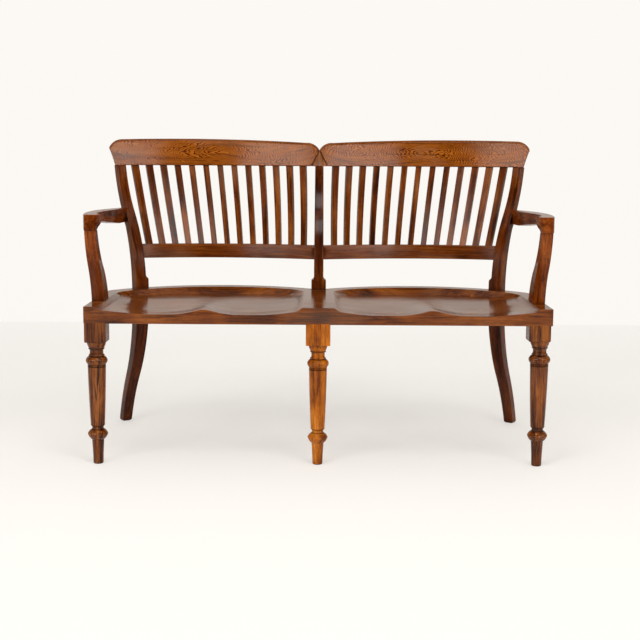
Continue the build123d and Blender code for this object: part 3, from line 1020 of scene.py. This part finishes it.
def slide_beads(shape, ring_lift, bulb_lift):
    """Move the lower ring and the bulb up or down, easing the leg between them."""
    lifts = (0, ring_lift, ring_lift, bulb_lift, bulb_lift)
    for vertex in shape.verts:
        vertex.co.z += float(np.interp(vertex.co.z, lift_stations, lifts))


def add_block(shape, x, y, foot, width, block_shade):
    """Set the square block on top of the turned part."""
    turned_faces = set(shape.faces)
    box = Matrix.Translation((x, y, (foot + block_top) / 2)) @ Matrix.Diagonal(
        (width, width, block_top - foot, 1.0)
    )
    block = bmesh.ops.create_cube(shape, size=1.0, matrix=box)["verts"]
    block_edges = {edge for vertex in block for edge in vertex.link_edges}
    round_edges(shape, list(block_edges), block_bevel, edge_steps)
    # The block's faces get the groove mark by their share: painted shade under the seat.
    shade_layer = shape.faces.layers.float["groove"]
    for face in set(shape.faces) - turned_faces:
        face[shade_layer] = block_shade


# %% Turn the three legs
corner_leg_x, corner_leg_y, corner_block = 0.627, -0.31922, 0.061
centre_leg_y, centre_block = -0.31522, 0.069


def turned_leg(name, finish, x, y, seed, block, lifts, nodes=(), block_shift=0.0, block_shade=0.0):
    """Spin one leg, slide its beads by its own lifts and set its block on top."""
    ring_lift, bulb_lift = lifts
    shape = spun_profile(x, y)
    slide_beads(shape, ring_lift, bulb_lift)
    add_block(shape, x + block_shift, y, block_foot + bulb_lift, block, block_shade)
    place_piece(shape, name, finish, along_z, seed, 0, *nodes)


# The outer legs' blocks are painted a little darker, as the shade under the seat.
turned_leg(
    "leg_left_oak",
    "legs",
    -corner_leg_x,
    corner_leg_y,
    seed=43,
    block=corner_block,
    lifts=(0.0, 0.0015),
    nodes=("front_legs",),
    block_shift=0.0015,
    block_shade=0.28,
)
turned_leg(
    "leg_right_oak",
    "legs",
    corner_leg_x,
    corner_leg_y,
    seed=44,
    block=corner_block,
    lifts=(0.002, 0.0115),
    block_shift=-0.005,
    block_shade=0.20,
)
turned_leg(
    "leg_centre_oak",
    "leg_centre",
    0.0,
    centre_leg_y,
    seed=45,
    block=centre_block,
    lifts=(-0.008, -0.004),
)
print("pieces dressed:", dressed())

# %% [markdown]
# ## Studio floor and backdrop
#
# The settee stood on a pale floor before a white wall. More light on the oak
# would whiten the background, but it would bleach the wood too. So the floor and
# wall are ordinary matt paint to every other ray and lifted towards a paper
# white to the camera alone, the floor more so far behind, where it meets the
# wall. The floor still shows the settee's shadow. Seen from behind, the wall is
# open, so that the back of the settee can be looked at.

# %% Paint for the studio
paper = (0.985, 0.960, 0.920, 1.0)
floor_paint, floor_near_lift, floor_far_lift = (0.94, 0.92, 0.89, 1.0), 0.5, 0.8
wall_paint, wall_lift = (0.66, 0.64, 0.61, 1.0), 0.96
paint_roughness = 0.8
near_line, wall_line = 0.5, 2.63


def open_from_behind(tree, seen, front):
    """Let the camera look through the back of a plane."""
    behind = add_node(tree, "ShaderNodeNewGeometry").outputs["Backfacing"]
    clear = add_node(tree, "ShaderNodeBsdfTransparent")
    share = combine(tree, "MULTIPLY", behind, seen)
    return add_node(
        tree, "ShaderNodeMixShader", {0: share, 1: front.outputs[0], 2: clear.outputs[0]}
    )


def studio_paint(name, paint, near_lift, far_lift, open_behind=False):
    """Matt paint that the camera sees lifted towards paper white, more so further behind."""
    material = bpy.data.materials.new(name)
    material.use_nodes = True
    tree = material.node_tree
    shader = tree.nodes["Principled BSDF"]
    shader.inputs["Base Color"].default_value = paint
    shader.inputs["Roughness"].default_value = paint_roughness
    glow = add_node(tree, "ShaderNodeEmission", {"Color": paper, "Strength": 1.0})
    seen = add_node(tree, "ShaderNodeLightPath").outputs["Is Camera Ray"]
    place = add_node(tree, "ShaderNodeTexCoord").outputs["Object"]
    depth = add_node(tree, "ShaderNodeSeparateXYZ", {0: place}).outputs[1]
    stations = {0: depth, 1: near_line, 2: wall_line, 3: near_lift, 4: far_lift}
    lift = combine(tree, "MULTIPLY", seen, add_node(tree, "ShaderNodeMapRange", stations).outputs[0])
    mixed = add_node(tree, "ShaderNodeMixShader", {0: lift, 1: shader.outputs[0], 2: glow.outputs[0]})
    if open_behind:
        mixed = open_from_behind(tree, seen, mixed)
    tree.links.new(mixed.outputs[0], tree.nodes["Material Output"].inputs["Surface"])
    return material


# %% Floor and wall
floor_middle, studio_half_width, wall_half_height = -3.2, 8.0, 3.0


def studio_plane(name, place, turn, half_width, half_height, material):
    """A plain painted rectangle for the studio."""
    shape = bmesh.new()
    bmesh.ops.create_grid(
        shape,
        x_segments=1,
        y_segments=1,
        size=1.0,
        matrix=Matrix.Translation(place)
        @ Matrix.Rotation(turn, 4, "X")
        @ Matrix.Diagonal((half_width, half_height, 1.0, 1.0)),
    )
    mesh = bpy.data.meshes.new(name)
    shape.to_mesh(mesh)
    shape.free()
    mesh.materials.append(material)
    plane = bpy.data.objects.new(name, mesh)
    bpy.context.scene.collection.objects.link(plane)


studio_plane(
    "studio_floor",
    (0, floor_middle, 0),
    0,
    studio_half_width,
    wall_line - floor_middle,
    studio_paint("floor_paint", floor_paint, floor_near_lift, floor_far_lift),
)
studio_plane(
    "studio_wall",
    (0, wall_line, wall_half_height),
    math.radians(90),
    studio_half_width,
    wall_half_height,
    studio_paint("wall_paint", wall_paint, wall_lift, wall_lift, open_behind=True),
)
print("floor and wall painted")

# %% [markdown]
# ## The light of the room
#
# The world gives plain soft light from all sides. In reflections it is almost
# dark, so that the wax stays deep except where it mirrors the wall and the
# lamps. The camera sees it as the same paper white as the wall.

# %% World
room_tint = (1.0, 0.975, 0.94, 1.0)
room_light, room_in_wax = 0.34, 0.03
world = bpy.data.worlds.new("studio")
bpy.context.scene.world = world
world.use_nodes = True
world_tree = world.node_tree
ambient = world_tree.nodes["Background"]
ambient.inputs["Color"].default_value = room_tint
rays = add_node(world_tree, "ShaderNodeLightPath")
dimmed = combine(world_tree, "MULTIPLY", rays.outputs["Is Glossy Ray"], room_in_wax - room_light)
strength = combine(world_tree, "ADD", dimmed, room_light)
world_tree.links.new(strength, ambient.inputs["Strength"])
shown = add_node(world_tree, "ShaderNodeBackground", {"Color": paper, "Strength": 1.0})
chosen = add_node(
    world_tree,
    "ShaderNodeMixShader",
    {0: rays.outputs["Is Camera Ray"], 1: ambient.outputs[0], 2: shown.outputs[0]},
)
world_tree.links.new(chosen.outputs[0], world_tree.nodes["World Output"].inputs["Surface"])
print("room light", room_light)

# %% [markdown]
# ## Lamps
#
# The oak is lit at a plain level from all round, as in a studio for catalogue
# pictures. Small lamps would leave hard bright spots in the wax, so all six are
# soft rectangles. Two broad ones stand in front, left and right, and two weaker
# ones at the sides. A large one hangs above the settee, and a small one hangs
# before it.

# %% Lamps
settee_middle = (0, 0, 0.6)
warm_tint, plain_tint = (1.0, 0.97, 0.93), (1.0, 0.98, 0.95)


def soft_lamp(name, place, aim, size, watts, tint):
    """A rectangular area lamp turned towards a point."""
    data = bpy.data.lights.new(name, "AREA")
    data.shape = "RECTANGLE"
    data.size, data.size_y = size
    data.energy = watts
    data.color = tint
    lamp = bpy.data.objects.new(name, data)
    bpy.context.scene.collection.objects.link(lamp)
    lamp.location = place
    lamp.rotation_mode = "QUATERNION"
    lamp.rotation_quaternion = (Vector(aim) - Vector(place)).to_track_quat("-Z", "Y")


for side, way in (("left", -1), ("right", 1)):
    soft_lamp(
        f"lamp_{side}",
        place=(2.5 * way, -3.9, 2.8),
        aim=settee_middle,
        size=(2.4, 1.1),
        watts=86,
        tint=warm_tint,
    )
for side, way in (("left", -1), ("right", 1)):
    soft_lamp(
        f"side_{side}",
        place=(4.4 * way, -1.8, 2.2),
        aim=settee_middle,
        size=(1.6, 1.6),
        watts=24,
        tint=warm_tint,
    )
soft_lamp(
    "lamp_above",
    place=(0.0, 0.6, 3.6),
    aim=(0, 0.6, 0),
    size=(4.0, 3.0),
    watts=24,
    tint=plain_tint,
)
soft_lamp(
    "lamp_top",
    place=(0.0, -1.5, 3.0),
    aim=(0, 0.2, 0.6),
    size=(1.4, 0.7),
    watts=22,
    tint=plain_tint,
)
print("lamps:", len(bpy.data.lights))
